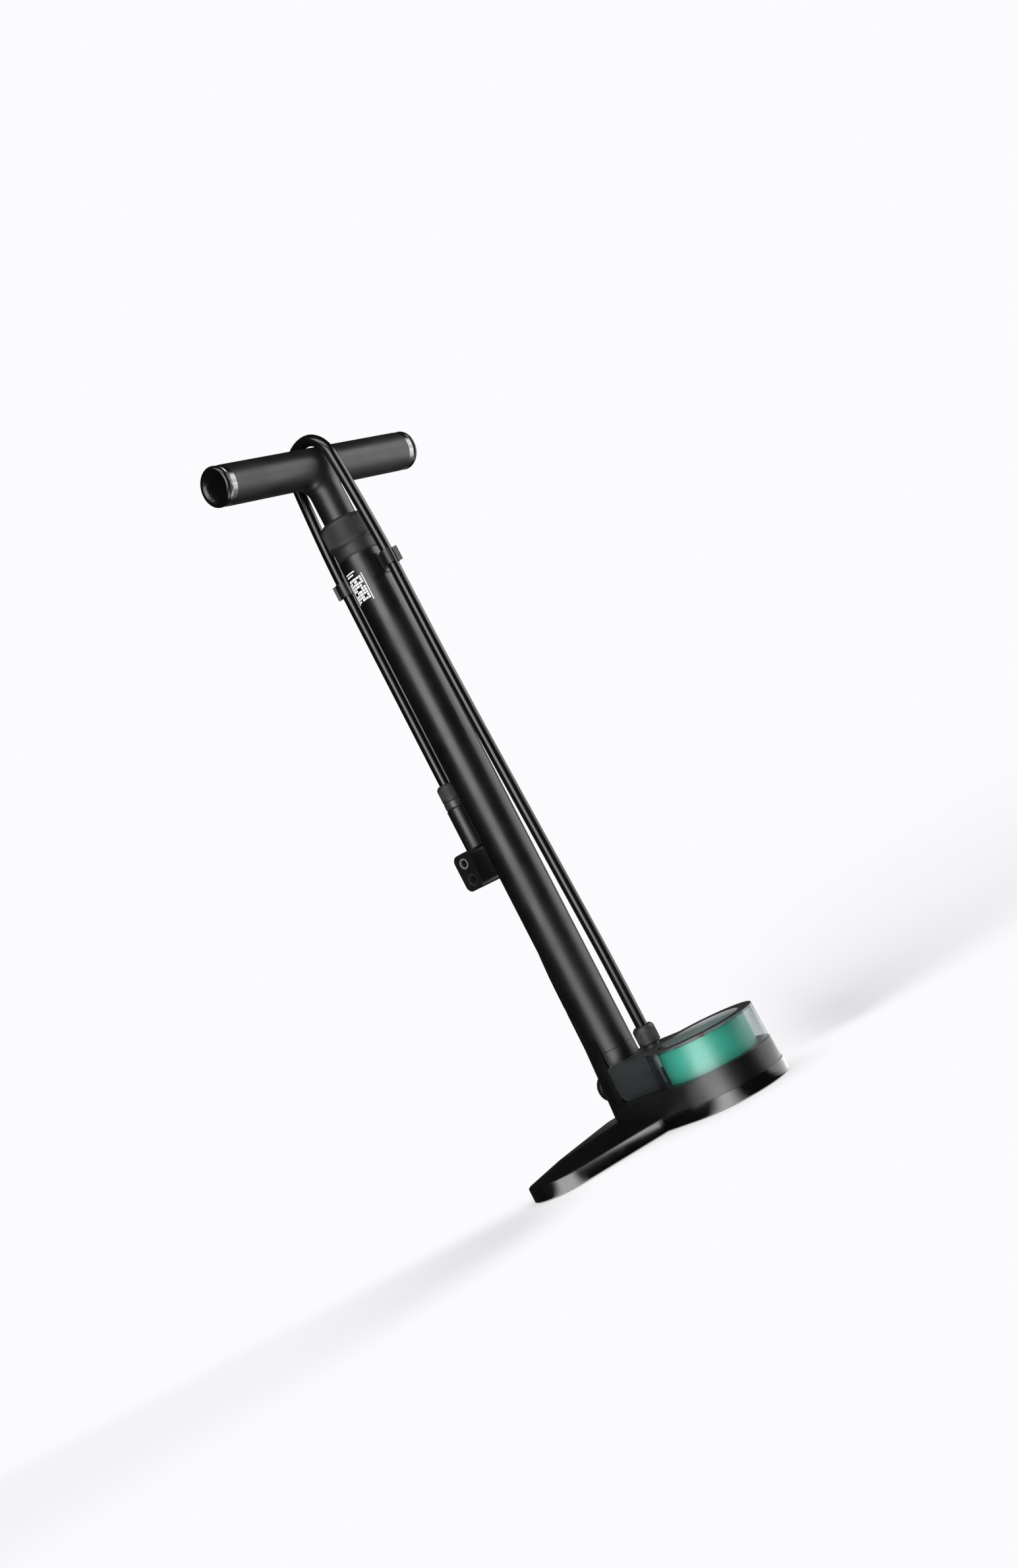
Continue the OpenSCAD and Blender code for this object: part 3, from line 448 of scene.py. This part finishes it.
def make_handle():
    """The soft T: a voxel mesh of cylinders, drawn onto handle_distance and cut at its ends."""
    over, voxel, tiny = 8 * MM, 1.5 * MM, 0.02 * MM
    rough = bmesh.new()
    for radius, length, middle, turn in (
        (BAR_R, 2 * (GRIP_HALF + over), (0, 0, HANDLE_Z), Matrix.Rotation(math.pi / 2, 4, "Y")),
        (STEM_R, HANDLE_Z - STEM_FOOT + over, (0, 0, (HANDLE_Z + STEM_FOOT - over) / 2),
         Matrix.Identity(4)),
        (STEM_R + 3 * MM, 20 * MM, (0, 0, HANDLE_Z - 16 * MM), Matrix.Identity(4)),
    ):
        bmesh.ops.create_cone(
            rough, cap_ends=True, segments=64, radius1=radius, radius2=radius, depth=length,
            matrix=Matrix.Translation(middle) @ turn)
    mesh = bpy.data.meshes.new("handle_body")
    rough.to_mesh(mesh)
    rough.free()
    handle = bpy.data.objects.new("handle_body", mesh)
    bpy.context.scene.collection.objects.link(handle)
    mod = handle.modifiers.new("voxels", "REMESH")
    mod.mode = "VOXEL"
    mod.voxel_size = voxel
    apply_modifiers(handle)
    mesh = handle.data
    co = np.empty(len(mesh.vertices) * 3, np.float32)
    mesh.vertices.foreach_get("co", co)
    points = co.reshape(-1, 3).astype(float)
    for _ in range(8):
        value = handle_distance(points)
        slope = np.stack([
            (handle_distance(points + step) - handle_distance(points - step)) / (2 * tiny)
            for step in tiny * np.eye(3)], axis=1)
        slope /= np.maximum(np.sum(slope * slope, axis=1, keepdims=True), 0.2)
        points -= np.clip(value, -voxel, voxel)[:, None] * slope
    mesh.vertices.foreach_set("co", points.astype(np.float32).ravel())
    work = bmesh.new()
    work.from_mesh(mesh)
    for place, normal in (
        ((GRIP_HALF, 0, 0), (1, 0, 0)),
        ((-GRIP_HALF, 0, 0), (-1, 0, 0)),
        ((0, 0, STEM_FOOT), (0, 0, -1)),
    ):
        cut = bmesh.ops.bisect_plane(
            work, geom=[*work.verts, *work.edges, *work.faces], dist=1e-6,
            plane_co=place, plane_no=normal, clear_outer=True)
        rim = [g for g in cut["geom_cut"] if isinstance(g, bmesh.types.BMEdge) and g.is_boundary]
        bmesh.ops.contextual_create(work, geom=rim)
    bmesh.ops.recalc_face_normals(work, faces=work.faces)
    work.to_mesh(mesh)
    work.free()
    mesh.materials.clear()
    mesh.materials.append(LOOKS["grip"])
    shade_by_angle(handle, 40)
    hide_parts("handle_shell")
    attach(handle, "plunger")


make_handle()


# ---------- turned pieces with ribs ----------

def ribs(count, depth, low, high):
    """Height of count shallow grooves at an angle and height, fading out towards low and high."""
    soft, steep = 1.2 * MM, 2.2

    def ripple(angle, height):
        share = min(1, max(0, (height - low) / soft), max(0, (high - height) / soft))
        wave = math.cos(angle * count)
        return -depth * share * (0.5 - 0.5 * max(-1, min(1, steep * wave)))
    return ripple


def turned(name, node, profile, look, body, turns, ripple, centre_y=0):
    """A turned piece in place of a node, about the upright line at centre_y.

    profile is (radius, height), outside and inside in one loop, in millimetres like centre_y;
    ripple(angle, height) adds to the radius.
    """
    verts = []
    for r, z in [*profile, profile[0]]:
        height = z * MM
        for k in range(turns):
            angle = TAU * k / turns
            radius = r * MM + ripple(angle, height)
            verts.append((
                radius * math.cos(angle), centre_y * MM + radius * math.sin(angle), height))
    obj = new_object(name, verts, join_grid(len(profile) + 1, turns), LOOKS[look])
    work = bmesh.new()
    work.from_mesh(obj.data)
    bmesh.ops.remove_doubles(work, verts=work.verts, dist=1e-7)
    bmesh.ops.recalc_face_normals(work, faces=work.faces)
    work.to_mesh(obj.data)
    work.free()
    shade_by_angle(obj, 35)
    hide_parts(node)
    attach(obj, body)


def soft_corner(r, z, radius, start, count=4):
    """Points of a quarter round of the radius about (r, z), from the angle start in degrees."""
    return [
        (r + radius * math.cos(math.radians(start + 90 * i / count)),
         z + radius * math.sin(math.radians(start + 90 * i / count)))
        for i in range(count + 1)
    ]


def steps_between(r, low, high, count):
    """Evenly spaced points up a wall of radius r."""
    return [(r, low + (high - low) * i / count) for i in range(count + 1)]


def make_cap():
    """The screwed cap on the barrel: spigot, smooth collar and ribbed grip."""
    profile = [(9.1, 514), (15.9, 514), (16.9, 515), (16.9, 532), (18.1, 532), (18.1, 532.8)]
    profile += [(18.7, 533.4), (18.7, 541.2), (19.2, 541.9), (20.35, 543)]
    profile += [(20.75, 543.7), *steps_between(20.75, 544.4, 562.4, 15), (20.7, 563.2), (20.3, 564)]
    profile += [(19.3, 565), (17.75, 565.9), (17.3, 566), (6.4, 566), (6.4, 564), (9.1, 564)]
    turned("cap_ribbed", "top_cap", profile, "cap_plastic", "base", turns=480,
           ripple=ribs(80, 0.28 * MM, 544.2 * MM, 562.8 * MM))


def make_nut(name, node, radius, low, height, centre_y, body):
    """A ribbed nut of the hose, rounded below and tapering above; sizes in millimetres."""
    bore, high = 5.1, low + height
    profile = [(bore, low), (radius - 1.3, low), *soft_corner(radius - 1, low + 1, 1, -90, 3)]
    profile += [*steps_between(radius, low + 1.6, high - 3.2, 8), (radius - 0.1, high - 2.6)]
    profile += [(radius - 0.5, high - 1.7), (radius - 1.9, high - 0.2), (radius - 2.4, high)]
    profile += [(bore, high)]
    turned(name, node, profile, "fitting_dark", body, turns=288,
           ripple=ribs(48, 0.16 * MM, (low + 1.2) * MM, (high - 2.4) * MM), centre_y=centre_y)


make_cap()
make_nut("gland_nut_ribbed", "gland_nut", 9.25, 63, 16, -39.4, "base")
make_nut("chuck_nut_ribbed", "chuck_nut", 9, 315, 15, 32, "base")


# ---------- valve spring ----------

def make_spring():
    """Coil behind the check valve, from the valve at its front to the plug at its back."""
    turns, steps, sides = 5, 40, 12
    coil_r, wire_r, front, length, height = 2.3, 0.35, 9.55, 6.95, 42.5  # millimetres
    verts = []
    for i in range(turns * steps + 1):
        turn = TAU * i / steps
        for k in range(sides):
            around = TAU * k / sides
            out = coil_r + wire_r * math.cos(around)
            along = front + length * i / (turns * steps) + wire_r * math.sin(around)
            up = height + out * math.sin(turn)
            verts.append((out * math.cos(turn) * MM, along * MM, up * MM))
    faces = join_grid(turns * steps + 1, sides)
    faces.append(tuple(range(sides))[::-1])
    faces.append(tuple(turns * steps * sides + k for k in range(sides)))
    spring = new_object("spring_coil", verts, faces, LOOKS["steel"])
    shade_by_angle(spring, 50)
    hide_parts("valve_spring")
    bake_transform(spring)


make_spring()


# ---------- printed marks ----------

def make_label():
    """Generic print on the barrel's -X side: rows of short bars, wrapped round the tube."""
    low_r, high_r = 19.02 * MM, 19.2 * MM
    verts, faces = [], []

    def bar(start, end, low, high):
        """Adds a bar between two angles in degrees and two heights in millimetres."""
        pieces = max(1, math.ceil((end - start) / 3))
        base = len(verts)
        for i in range(pieces + 1):
            angle = math.radians(180 + start + (end - start) * i / pieces)
            for r, z in ((low_r, low), (high_r, low), (high_r, high), (low_r, high)):
                verts.append((r * math.cos(angle), r * math.sin(angle), z * MM))
        for i in range(pieces):
            for k in range(4):
                a, b = base + 4 * i + k, base + 4 * i + (k + 1) % 4
                faces.append((a, b, b + 4, a + 4))
        faces.append((base + 3, base + 2, base + 1, base))
        last = base + 4 * pieces
        faces.append((last, last + 1, last + 2, last + 3))

    columns = ((-22, -13), (-11, -7), (-5, 6), (8, 14), (16, 22))
    left_out = {(0, 1), (1, 3), (3, 0), (4, 2), (5, 4), (7, 1), (7, 3)}
    lowest, row_step, bar_height = 494, 2.35, 1.75
    for row in range(9):
        z = lowest + row * row_step
        for column, (start, end) in enumerate(columns):
            if (row, column) not in left_out:
                bar(start, end, z, z + bar_height)
    bar(-28, -25.5, 493, 512)
    bar(25.5, 27.5, 491.5, 516)
    bar(-22, 4, 517, 518.2)
    bar(-22, 12, 519.4, 520.4)
    label = new_object("label_print", verts, faces, LOOKS["label"], smooth=False)
    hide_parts("barrel_label")
    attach(label, "base")


def number_mesh(text, size, x, y, z):
    """Mesh of a plain number centred on (x, y), lying flat at height z."""
    curve = bpy.data.curves.new("figures", "FONT")
    curve.body = text
    curve.size = size
    curve.align_x = "CENTER"
    curve.align_y = "CENTER"
    curve.extrude = 0.03 * MM
    obj = bpy.data.objects.new("figures", curve)
    bpy.context.scene.collection.objects.link(obj)
    mesh = bpy.data.meshes.new_from_object(obj.evaluated_get(bpy.context.evaluated_depsgraph_get()))
    bpy.data.objects.remove(obj)
    mesh.transform(Matrix.Translation((x, y, z)))
    return mesh


GAUGE_Y = -90 * MM
DIAL_TOP = 53.5 * MM


def make_dial_print():
    """Ticks and plain numbers from 0 to 160 round the dial."""
    work = bmesh.new()
    start, sweep, ticks, numbers = 225, 270, 80, 8
    outer, number_r, ink = 33 * MM, 22.5 * MM, 0.06 * MM
    for i in range(ticks + 1):
        angle = math.radians(start - sweep * i / ticks)
        major, middle = i % 10 == 0, i % 5 == 0
        inner = (27.5 if major else 29.5 if middle else 31) * MM
        width = (0.8 if major else 0.45 if middle else 0.28) * MM
        turn = Matrix.Translation((0, GAUGE_Y, DIAL_TOP)) @ Matrix.Rotation(angle, 4, "Z")
        shape = turn @ Matrix.Translation(((inner + outer) / 2, 0, ink / 2))
        bmesh.ops.create_cube(
            work, size=1, matrix=shape @ Matrix.Diagonal((outer - inner, width, ink, 1)))
    for i in range(numbers + 1):
        angle = math.radians(start - sweep * i / numbers)
        mesh = number_mesh(
            str(20 * i), 6 * MM, number_r * math.cos(angle),
            GAUGE_Y + number_r * math.sin(angle), DIAL_TOP + ink / 2)
        work.from_mesh(mesh)
        bpy.data.meshes.remove(mesh)
    mesh = bpy.data.meshes.new("dial_print")
    work.to_mesh(mesh)
    work.free()
    obj = bpy.data.objects.new("dial_print", mesh)
    bpy.context.scene.collection.objects.link(obj)
    mesh.materials.clear()
    mesh.materials.append(LOOKS["ink"])
    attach(obj, "base")


make_label()
make_dial_print()


# ---------- the other nodes ----------

# Nodes rebuilt with rounded edges: look, bevel in millimetres, segments.
REFINED = {
    "base_slab": ("foot_metal", 1.1, 4), "base_housing": ("foot_housing", 0.7, 3),
    "rubber_pads": ("rubber", 0.5, 2), "base_screws": ("steel", 0.25, 2),
    "barrel_foot": ("barrel_metal", 0.35, 2), "barrel_tube": ("barrel_metal", 0.25, 2),
    "valve_plug": ("gloss_fitting", 0.5, 3), "gauge_cover": ("clear_cover", 0.6, 3),
    "gauge_ring": ("ring_green", 0.3, 2), "gauge_needle": ("needle_red", 0.12, 2),
    "gland_stem": ("fitting_dark", 0.3, 2), "hose_clip_front": ("clip", 0.35, 3),
    "hose_clip_rear": ("clip", 0.35, 3), "chuck_ring": ("chuck_ring", 0.25, 2),
    "chuck_body": ("chuck_metal", 0.3, 2), "chuck_head": ("chuck_metal", 0.7, 4),
    "chuck_lever": ("gloss_fitting", 0.6, 3), "end_ring_left": ("end_ring", 0.3, 3),
    "end_ring_right": ("end_ring", 0.3, 3), "end_cap_left": ("gloss_black", 0.3, 2),
    "end_cap_right": ("gloss_black", 0.3, 2), "rod_bolt": ("steel", 0.4, 2),
}
# Nodes shown as they are: look.
KEPT = {
    "foot_seal": "seal_grey", "cap_seal": "seal_grey", "rod_bush": "bearing_plastic",
    "wiper_seal": "seal_grey", "manifold": "valve_metal", "valve_seat": "brass",
    "valve_poppet": "brass", "cover_trim": "fitting_dark", "gauge_dial": "dial",
    "needle_arbor": "brass", "movement_plate": "brass", "sector_gear": "brass",
    "bourdon_tube": "brass", "port_ring": "pale_ring", "seal_small": "port_seal",
    "seal_large": "port_seal", "lever_pin": "steel", "handle_tube": "bare_tube",
    "piston_rod": "rod_chrome", "rod_bumper": "rubber", "piston_core": "bearing_plastic",
    "piston_ring": "bearing_plastic", "piston_seal": "seal_grey", "piston_bolt": "steel",
}
SHAPED = {
    node: refined(node, LOOKS[look], bevel, segments)
    for node, (look, bevel, segments) in REFINED.items()
}
for node, look in KEPT.items():
    NODES[node].data.materials.clear()
    NODES[node].data.materials.append(LOOKS[look])


# ---------- floor, lights, surroundings ----------

FLOOR_WHITE = (0.973, 0.956, 0.982, 1)
# Painted glow patches on the floor, unseen by the camera, give the glossy foot bright reflections
# near the middle (u, v) of each curve of its wall: turn is the angle of the patch in front of the
# curve, side how bright the patch beside it is.
FOOT_CURVES = ((0.0677, -0.0593, -20, 0.3), (-0.0771, -0.0834, 5, 0))
# Strength of the painted glow, strength of the floor where there is none, and the share of the far
# painted patch, which the handle's bar reflects.
GLOW_STRENGTH, GLOW_ELSEWHERE, GLOW_FAR = 8.4, 0.03, 0.36


def fade(value, low, high):
    """Smooth step from 0 at low to 1 at high, either way round."""
    t = np.clip((value - low) / (high - low), 0, 1)
    return t * t * (3 - 2 * t)


def floor_shades(x, y):
    """How dark the painted shadow bands are at points of the floor, and how bright its painted glow
    is.

    u is the distance to the camera's right of the barrel and v the distance beyond it; the numbers
    are fitted to the soft shadows of the picture.
    """
    u = x * RIGHT.x + y * RIGHT.y
    v = x * AHEAD.x + y * AHEAD.y
    left = fade(u, -0.04, -0.13) * (0.065 + 0.15 * np.exp(-((u + 0.11) / 0.12) ** 2))
    left *= fade(v, -0.03, -0.13) * fade(v, -0.27 + 0.75 * (u + 0.1), -0.14 + 0.3 * (u + 0.1))
    out = np.clip(u - 0.2, 0, 0.3)
    right = fade(u, 0.1, 0.2) * (0.07 + 0.17 * np.exp(-out / 0.12))
    right *= fade(v, -0.03, 0.05 + 1.2 * out)
    right *= np.exp(-np.maximum(v - 0.15 - out, 0) / (0.31 + 2 * out))
    glow = np.zeros_like(u)
    for cu, cv, turn, side in FOOT_CURVES:
        angle = np.degrees(np.arctan2(u - cu, -(v - cv)))
        away = np.hypot(u - cu, v - cv)
        front = fade(angle, -37, -13) * fade(angle, turn + 36, turn + 10)
        beside = side * fade(angle, 65, 72) * fade(angle, 175, 165)
        reach = 0.5 * fade(away, 0.9, 0.3) + 0.5 * fade(away, 0.26, 0.17)
        glow = np.maximum(glow, reach * (front + beside))
    far = fade(u, 0.6, 0.95) * fade(u, 3.5, 2.8) * fade(v, -0.3, 0) * fade(v, 1.1, 0.8)
    return left + right, np.maximum(glow, GLOW_FAR * far)


def make_floor():
    """Pale floor: the camera sees it white with painted soft shadows, other rays see its painted
    glow.
    """
    fine = np.arange(-0.9, 1.5001, 0.012)
    lines = np.concatenate([[-30, -8, -3, -1.6], fine, [2.2, 4, 9, 30]])
    x, y = np.meshgrid(lines, lines, indexing="ij")
    count = len(lines)
    verts = [(a, b, 0) for a, b in zip(x.ravel(), y.ravel())]
    faces = [
        (i * count + k, (i + 1) * count + k, (i + 1) * count + k + 1, i * count + k + 1)
        for i in range(count - 1) for k in range(count - 1)
    ]
    floor = new_object("floor", verts, faces, smooth=False)
    dark, glow = floor_shades(x.ravel(), y.ravel())
    for name, values in (("dark", dark), ("glow", glow)):
        attribute = floor.data.attributes.new(name, "FLOAT", "POINT")
        attribute.data.foreach_set("value", values.astype(np.float32))
    material = bpy.data.materials.new("floor_pale")
    material.use_nodes = True
    tree = material.node_tree
    new, link = tree.nodes.new, tree.links.new
    tree.nodes.remove(tree.nodes["Principled BSDF"])
    # Painted contact shadow: ambient occlusion darkens the colour the camera sees near the pump.
    near = new("ShaderNodeAmbientOcclusion")
    near.samples = 16
    near.inputs["Distance"].default_value = 0.09
    shade = new("ShaderNodeValToRGB")
    shade.color_ramp.elements[0].color = (0.25, 0.25, 0.255, 1)
    shade.color_ramp.elements[1].position = 0.9
    shade.color_ramp.elements[1].color = FLOOR_WHITE
    middle = shade.color_ramp.elements.new(0.5)
    middle.color = (0.74, 0.735, 0.745, 1)
    link(near.outputs["AO"], shade.inputs["Fac"])
    # Painted shadow bands: the dark attribute dims the colour the camera sees.
    dark_at = new("ShaderNodeAttribute")
    dark_at.attribute_name = "dark"
    keep = new("ShaderNodeMath")
    keep.operation = "SUBTRACT"
    keep.inputs[0].default_value = 1
    link(dark_at.outputs["Fac"], keep.inputs[1])
    bright = new("ShaderNodeEmission")
    link(shade.outputs["Color"], bright.inputs["Color"])
    link(keep.outputs[0], bright.inputs["Strength"])
    # Painted glow, seen only by rays other than the camera's: the glow attribute lights the floor
    # patches that the foot and the handle's bar reflect.
    glow_at = new("ShaderNodeAttribute")
    glow_at.attribute_name = "glow"
    level = new("ShaderNodeMath")
    level.operation = "MULTIPLY_ADD"
    level.inputs[1].default_value = GLOW_STRENGTH
    level.inputs[2].default_value = GLOW_ELSEWHERE
    link(glow_at.outputs["Fac"], level.inputs[0])
    painted_glow = new("ShaderNodeEmission")
    link(level.outputs[0], painted_glow.inputs["Strength"])
    path = new("ShaderNodeLightPath")
    mix = new("ShaderNodeMixShader")
    link(path.outputs["Is Camera Ray"], mix.inputs[0])
    link(painted_glow.outputs[0], mix.inputs[1])
    link(bright.outputs[0], mix.inputs[2])
    link(mix.outputs[0], tree.nodes["Material Output"].inputs["Surface"])
    floor.data.materials.append(material)


def make_world():
    """Surroundings: white to the camera, dim to everything else."""
    world = bpy.data.worlds.new("studio")
    bpy.context.scene.world = world
    world.use_nodes = True
    tree = world.node_tree
    new, link = tree.nodes.new, tree.links.new
    seen = tree.nodes["Background"]
    seen.inputs["Color"].default_value = FLOOR_WHITE
    dim = new("ShaderNodeBackground")
    dim.inputs["Color"].default_value = (0.9, 0.93, 1, 1)
    dim.inputs["Strength"].default_value = 0.012
    path = new("ShaderNodeLightPath")
    mix = new("ShaderNodeMixShader")
    link(path.outputs["Is Camera Ray"], mix.inputs[0])
    link(dim.outputs[0], mix.inputs[1])
    link(seen.outputs[0], mix.inputs[2])
    link(mix.outputs[0], tree.nodes["World Output"].inputs["Surface"])


def softbox(name, angle, reach, height, width, tall, power, target=(0, 0, 0.3)):
    """Rectangular light aimed at target, at reach from the barrel and unseen by the camera.

    angle is in degrees from the camera's side, positive towards its right.
    """
    turn = math.radians(angle)
    place = AHEAD * (-math.cos(turn) * reach) + RIGHT * (math.sin(turn) * reach)
    place += Vector((0, 0, height))
    data = bpy.data.lights.new(name, "AREA")
    data.shape = "RECTANGLE"
    data.size = width
    data.size_y = tall
    data.energy = power
    light = bpy.data.objects.new(name, data)
    bpy.context.scene.collection.objects.link(light)
    light.location = place
    light.rotation_euler = (Vector(target) - place).to_track_quat("-Z", "Y").to_euler()
    light.visible_camera = False


make_floor()
make_world()
# name, angle, reach, height, width, tall, power
softbox("key", -20, 1.9, 0.8, 1.5, 2.0, 54, target=(0, 0, 0.4))
softbox("above", -10, 0.9, 1.9, 1.8, 0.5, 14, target=(0, 0, 0.6))
softbox("right", 108, 1.6, 0.55, 1.7, 1.5, 17)
softbox("bar", 100, 1.5, 1.0, 1.7, 0.8, 6, target=(0, 0, 0.6))
softbox("back", 172, 2.2, 0.24, 1.3, 0.4, 0.4)
bpy.context.scene.view_settings.view_transform = "Standard"
